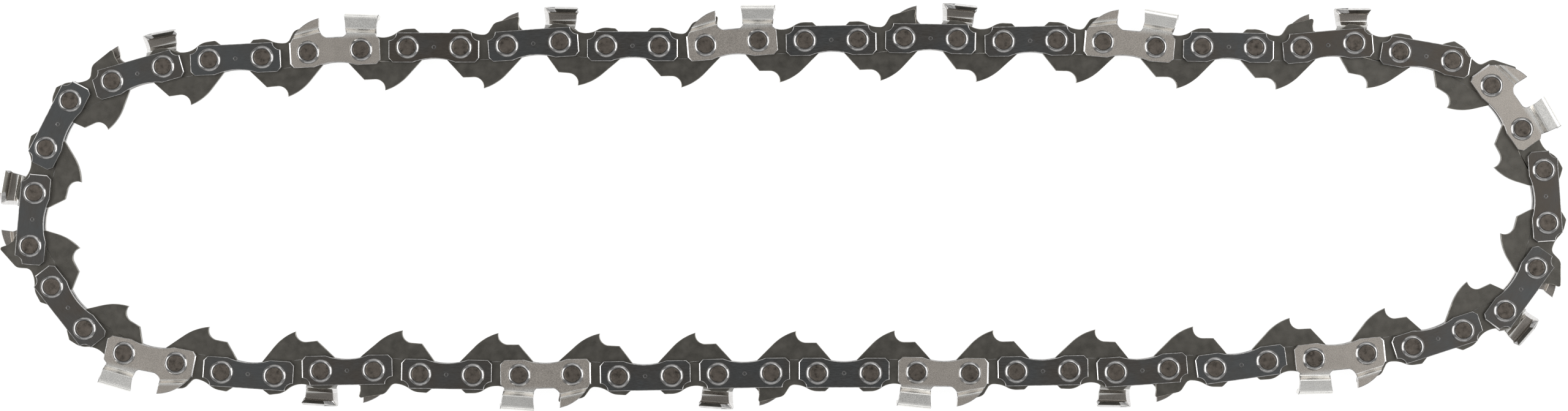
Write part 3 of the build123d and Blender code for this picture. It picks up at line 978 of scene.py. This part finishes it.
class FinishNodes(NodeTree):
    """Nodes of a finish while it is made, about a Principled shader."""

    def __init__(self, name):
        self.material = bpy.data.materials.new(name)
        super().__init__(self.material)
        self.tree.nodes.clear()
        self.shader = self.add("ShaderNodeBsdfPrincipled")
        self.add("ShaderNodeOutputMaterial", {"Surface": self.shader.outputs["BSDF"]})

    def link(self, socket, name):
        """Links a node's output to one of the shader's inputs."""
        self.tree.links.new(socket, self.shader.inputs[name])

    def spot(self):
        """Position on the link in millimetres."""
        return self.add("ShaderNodeAttribute", attribute_name=LINK_PLACE).outputs["Vector"]

    def chance(self):
        """A number between 0 and 1 that is different for every link."""
        return self.add("ShaderNodeObjectInfo").outputs["Random"]

    def noise(self, size, detail=3.0, stretch=(1, 1, 1)):
        """Cloudy noise between 0 and 1, with features of a size in millimetres.

        It is moved on from link to link so that no two look alike.
        """
        stretched = self.vectors("MULTIPLY", self.spot(), stretch)
        shift = self.math("MULTIPLY", self.chance(), LINK_SHIFT)
        inputs = {"Vector": self.vectors("ADD", stretched, shift), "Scale": 1 / size}
        return self.add("ShaderNodeTexNoise", {**inputs, "Detail": detail}).outputs["Fac"]

    def blend(self, first, second, share):
        """Mix of two values by a fixed share of the second."""
        inputs = {"Factor": share, "A": first, "B": second}
        return self.add("ShaderNodeMix", inputs, data_type="FLOAT").outputs["Result"]

    def rise(self, value, ends):
        """Smooth rise from 0 to 1 of a value between two ends."""
        return self.spread(value, 0, 1, ends, interpolation_type="SMOOTHSTEP")

    def band(self, value, start, end):
        """Smooth rise of a value between two ends, and its fall between two others."""
        return self.math("MULTIPLY", self.rise(value, start), self.rise(value, end))

    def shades(self, value, colour, dark, light, ends=NOISE_ENDS):
        """Sets the base colour from a dark to a light shade, while a value goes from end to end."""
        tones = [(end, shade(colour, factor)) for end, factor in zip(ends, (dark, light))]
        self.link(self.ramp(value, tones), "Base Color")

    def roughness(self, value, low, high):
        """Sets the roughness from low to high by a noise."""
        self.link(self.spread(value, low, high), "Roughness")

    def relief(self, value, depth):
        """Sets a fine relief by a value, with its depth in millimetres."""
        node = self.add("ShaderNodeBump", {"Height": value, "Distance": depth * MM, "Strength": 1})
        self.link(node.outputs["Normal"], "Normal")


def tinted(colour, tint):
    """A colour with each channel made darker or lighter."""
    return [min(channel * factor, 1) for channel, factor in zip(colour, tint)]


def shade(colour, factor):
    """A colour made darker or lighter."""
    return tinted(colour, (factor, factor, factor))


def strap_steel(finish, colours):
    """Blued steel: satin, faintly brushed along the strap, with cloudy warm and cool patches."""
    patches = finish.blend(finish.noise(size=6.0), finish.chance(), share=0.3)
    brushed = finish.noise(size=0.35, detail=2.0, stretch=(0.35, 3.0, 3.0))
    mixed = finish.blend(patches, brushed, share=0.14)
    warm, cool = tinted(colours.strap, WARM_TINT), tinted(colours.strap, COOL_TINT)
    finish.link(finish.ramp(mixed, list(zip(SOFT_NOISE_ENDS, (warm, cool)))), "Base Color")
    finish.roughness(brushed, low=0.2, high=0.26)
    finish.relief(brushed, depth=0.001)


def speckled_plating(finish, painted_highlight, plain, light):
    """Satin plating with a fine speckle and soft patches, from a plain to a light colour by a
    painted highlight.
    """
    colour = finish.ramp(painted_highlight, [(0, plain), (1, light)])
    speckle = finish.noise(size=0.13, detail=2.0)
    patches = finish.noise(size=2.0)
    mixed = finish.spread(finish.blend(patches, speckle, share=0.65), low=0.84, high=1.12)
    finish.link(finish.vectors("MULTIPLY", colour, mixed), "Base Color")
    finish.roughness(speckle, low=0.24, high=0.32)
    finish.relief(speckle, depth=0.0012)


def cutter_plating(finish, colours):
    """Hard plating: warm grey, lighter at the folds and the heel as a painted highlight."""
    along, up, _ = finish.add("ShaderNodeSeparateXYZ", {"Vector": finish.spot()}).outputs
    gauge_level = finish.math("MULTIPLY_ADD", along, -GAUGE_BEND_SLOPE, up)
    # Painted highlight towards the heel and up its side, and along the gauge's fold
    heel = finish.math("MULTIPLY", finish.rise(along, HIGHLIGHT_ALONG), finish.rise(up, HIGHLIGHT_UP))
    gauge = finish.band(gauge_level, HIGHLIGHT_GAUGE, HIGHLIGHT_GAUGE_END)
    painted_highlight = finish.math("MAXIMUM", heel, gauge)
    speckled_plating(finish, painted_highlight, colours.cutter[:], colours.heel[:])


def shaded_inner_plating(finish, colours):
    """Plating on the cutters' inner faces: painted shade, and a painted highlight in the folds
    only.
    """
    along, up, _ = finish.add("ShaderNodeSeparateXYZ", {"Vector": finish.spot()}).outputs
    fold = finish.band(up, HIGHLIGHT_UP, HIGHLIGHT_UP_END)
    heel = finish.math("MULTIPLY", finish.rise(along, HIGHLIGHT_ALONG), fold)
    # Painted shade: the inner plating starts from a darker shade of the cutter colour
    speckled_plating(finish, heel, shade(colours.cutter, INNER_SHADE), colours.heel[:])


def drive_steel(finish, colours):
    """Heat-treated steel: dark and matte, warm grey, with soft mottling."""
    patches = finish.noise(size=1.8, detail=4.0)
    grain = finish.noise(size=0.16, detail=2.0)
    mixed = finish.blend(patches, grain, share=0.4)
    finish.shades(mixed, colours.drive, dark=0.92, light=1.08, ends=(0.36, 0.64))
    finish.roughness(patches, low=0.25, high=0.32)
    finish.relief(grain, depth=0.0015)


def worn_edge(finish, colours):
    """Bright steel where edges are rubbed bare, broken by darker spots."""
    wear = finish.noise(size=0.8)
    finish.shades(wear, colours.bright, dark=0.25, light=0.55)
    finish.roughness(wear, low=0.34, high=0.24)


def bright_edge(finish, colours):
    """Bevel of a plate's end and an undercut's thin edge: bare steel painted near white as
    highlight.
    """
    wear = finish.noise(size=0.8)
    finish.shades(wear, colours.bright, dark=0.85, light=1.0)
    finish.roughness(wear, low=0.3, high=0.24)


def drive_edge(finish, colours):
    """Rubbed edge of a drive link: a little lighter than its faces."""
    wear = finish.noise(size=1.1)
    finish.shades(wear, colours.drive, dark=0.8, light=1.6, ends=SOFT_NOISE_ENDS)
    finish.roughness(wear, low=0.45, high=0.34)


def ground_edge(finish, colours):
    """Freshly ground steel with fine parallel grinding lines."""
    lines = finish.noise(size=0.4, detail=2.0, stretch=(0.4, 6.0, 0.4))
    finish.shades(lines, colours.bright, dark=0.9, light=1.2)
    finish.roughness(lines, low=0.2, high=0.34)
    finish.relief(lines, depth=0.003)


def rivet_ring(finish, colours):
    """Rolled rim of a rivet: polished by the peening tool, with faint ripples."""
    rolled = finish.noise(size=0.6)
    finish.shades(rolled, colours.bright, dark=0.36, light=0.5)
    finish.roughness(rolled, low=0.12, high=0.2)
    finish.relief(rolled, depth=0.012)


def rivet_core(finish, colours):
    """Middle of a rivet: brown oxide with dark blotches."""
    blotches = finish.noise(size=0.9, detail=4.0)
    grain = finish.noise(size=0.15, detail=2.0)
    mixed = finish.blend(blotches, grain, share=0.25)
    tones = [(position, shade(colours.core, factor)) for position, factor in CORE_SHADES]
    finish.link(finish.ramp(mixed, tones), "Base Color")
    finish.roughness(blotches, low=0.5, high=0.36)
    finish.relief(mixed, depth=0.02)


STEELS = {
    make.__name__: make
    for make in (
        strap_steel, cutter_plating, shaded_inner_plating, drive_steel,
        worn_edge, bright_edge, drive_edge, ground_edge, rivet_ring, rivet_core,
    )
}


def steel(name):
    """The material of a finish, made once."""
    title = f"{name}_finish"
    if title not in bpy.data.materials:
        finish = FinishNodes(title)
        finish.shader.inputs["Metallic"].default_value = 1.0
        STEELS[name](finish, bpy.context.scene.saw_chain_colours)
    return bpy.data.materials[title]


def add_table(colours):
    """Pale light table under the chain, which glows so that shadows on it stay faint."""
    half = TABLE_SIZE / 2
    corners = [(-half, -half, 0), (half, -half, 0), (half, half, 0), (-half, half, 0)]
    mesh = bpy.data.meshes.new("table")
    mesh.from_pydata(corners, [], [(0, 1, 2, 3)])
    finish = FinishNodes("table_top")
    tones = zip(NOISE_ENDS, (shade(colours.table, TABLE_CLOUD_SHADE), colours.table[:]))
    finish.link(finish.ramp(finish.noise(TABLE_CLOUD), list(tones)), "Emission Color")
    surface = {
        "Base Color": (*shade(colours.table, TABLE_MATT), 1),
        "Roughness": TABLE_ROUGHNESS,
        "Specular IOR Level": TABLE_GLOSS,
        "Emission Strength": TABLE_GLOW,
    }
    for name, value in surface.items():
        finish.shader.inputs[name].default_value = value
    mesh.materials.append(finish.material)
    table = bpy.data.objects.new("table", mesh)
    table.location.z = -TABLE_GAP * MM
    bpy.context.scene.collection.objects.link(table)


def add_panel(name, place, size, brightness):
    """Soft light panel that faces the middle of the loop."""
    light = bpy.data.lights.new(name, "AREA")
    light.shape = "RECTANGLE"
    light.size, light.size_y = size
    light.energy = brightness * pi * size[0] * size[1]
    panel = bpy.data.objects.new(name, light)
    panel.location = place
    panel.rotation_mode = "QUATERNION"
    panel.rotation_quaternion = (-Vector(place)).to_track_quat("-Z", "Y")
    bpy.context.scene.collection.objects.link(panel)


def add_surroundings():
    """Studio surroundings that are dark about the camera and brighter around it."""
    world = bpy.data.worlds.new("studio")
    nodes = NodeTree(world)
    direction = nodes.add("ShaderNodeTexCoord").outputs["Generated"]
    across, _, up = nodes.add("ShaderNodeSeparateXYZ", {"Vector": direction}).outputs
    down = nodes.math("MULTIPLY", nodes.math("ARCCOSINE", up), 2 / pi)
    sky = nodes.ramp(down, [(angle / 90, (light, light, light)) for angle, light in SKY_LIGHT])
    side = nodes.spread(across, *SIDE_LIGHT, ends=(-SIDE_REACH, SIDE_REACH))
    background = nodes.tree.nodes["Background"]
    nodes.tree.links.new(sky, background.inputs["Color"])
    nodes.tree.links.new(side, background.inputs["Strength"])
    bpy.context.scene.world = world


def add_camera():
    """Camera straight above the loop, as wide as the view."""
    centers = rivet_centers()
    middle = sum(centers, Vector()) / len(centers)
    data = bpy.data.cameras.new("view_from_above")
    data.lens, data.sensor_width = LENS, SENSOR_WIDTH
    camera = bpy.data.objects.new("view_from_above", data)
    distance = VIEW_WIDTH * LENS / SENSOR_WIDTH
    camera.location = middle + Vector((*VIEW_CENTER, distance)) * MM
    bpy.context.scene.collection.objects.link(camera)
    bpy.context.scene.camera = camera


class SAWCHAIN_OT_tie_links(bpy.types.Operator):
    """Dress the links that have a tie strap on both sides"""

    bl_idname = "sawchain.tie_links"
    bl_label = "Tie links"

    def execute(self, context):
        place_links("tie_link", "strap_steel", add_strap, add_far_strap, add_rivets)
        return {"FINISHED"}


class SAWCHAIN_OT_near_cutter_links(bpy.types.Operator):
    """Dress the links whose cutter is on the near side"""

    bl_idname = "sawchain.near_cutter_links"
    bl_label = "Near cutter links"

    def execute(self, context):
        place_links("near_cutter_link", "cutter_plating", add_cutter, add_far_strap, add_rivets)
        return {"FINISHED"}


class SAWCHAIN_OT_far_cutter_links(bpy.types.Operator):
    """Dress the links whose cutter is on the far side"""

    bl_idname = "sawchain.far_cutter_links"
    bl_label = "Far cutter links"

    def execute(self, context):
        place_links("far_cutter_link", "cutter_plating", add_far_cutter, add_strap, add_rivets)
        return {"FINISHED"}


class SAWCHAIN_OT_drive_links(bpy.types.Operator):
    """Dress the plain drive links"""

    bl_idname = "sawchain.drive_links"
    bl_label = "Drive links"

    def execute(self, context):
        place_links("drive_link", "drive_steel", add_drive_plate)
        return {"FINISHED"}


class SAWCHAIN_OT_bumper_links(bpy.types.Operator):
    """Dress the drive links that have a bumper ramp"""

    bl_idname = "sawchain.bumper_links"
    bl_label = "Bumper links"

    def execute(self, context):
        place_links("bumper_link", "drive_steel", add_bumper_plate)
        return {"FINISHED"}


class SAWCHAIN_OT_stage(bpy.types.Operator):
    """Set up the table, the soft studio light and the camera"""

    bl_idname = "sawchain.stage"
    bl_label = "Stage"

    def execute(self, context):
        context.scene.view_settings.view_transform = "Standard"
        add_table(context.scene.saw_chain_colours)
        add_surroundings()
        for name, (place, size, brightness) in LIGHT_PANELS.items():
            add_panel(name, place, size, brightness)
        add_camera()
        return {"FINISHED"}


STEPS = [
    SAWCHAIN_OT_tie_links,
    SAWCHAIN_OT_near_cutter_links,
    SAWCHAIN_OT_far_cutter_links,
    SAWCHAIN_OT_drive_links,
    SAWCHAIN_OT_bumper_links,
    SAWCHAIN_OT_stage,
]


class SAWCHAIN_PT_panel(bpy.types.Panel):
    """Sizes, colours and steps of the saw chain loop"""

    bl_idname = "SAWCHAIN_PT_panel"
    bl_label = "Saw chain loop"
    bl_space_type = "VIEW_3D"
    bl_region_type = "UI"
    bl_category = "Saw chain"

    def draw(self, context):
        for group in (context.scene.saw_chain_sizes, context.scene.saw_chain_colours):
            for name in group.__annotations__:
                self.layout.prop(group, name)
        for step in STEPS:
            self.layout.operator(step.bl_idname)


CLASSES = [SawChainSizes, SawChainColours, *STEPS, SAWCHAIN_PT_panel]


def register():
    """Registers the classes, and gives the scene its sizes and colours."""
    for cls in CLASSES:
        bpy.utils.register_class(cls)
    bpy.types.Scene.saw_chain_sizes = PointerProperty(type=SawChainSizes)
    bpy.types.Scene.saw_chain_colours = PointerProperty(type=SawChainColours)


def unregister():
    """Takes back what register() did."""
    del bpy.types.Scene.saw_chain_colours
    del bpy.types.Scene.saw_chain_sizes
    for cls in reversed(CLASSES):
        bpy.utils.unregister_class(cls)


def main():
    """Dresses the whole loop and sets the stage."""
    register()
    bpy.ops.sawchain.tie_links()
    bpy.ops.sawchain.near_cutter_links()
    bpy.ops.sawchain.far_cutter_links()
    bpy.ops.sawchain.drive_links()
    bpy.ops.sawchain.bumper_links()
    bpy.ops.sawchain.stage()


if __name__ == "__main__":
    main()
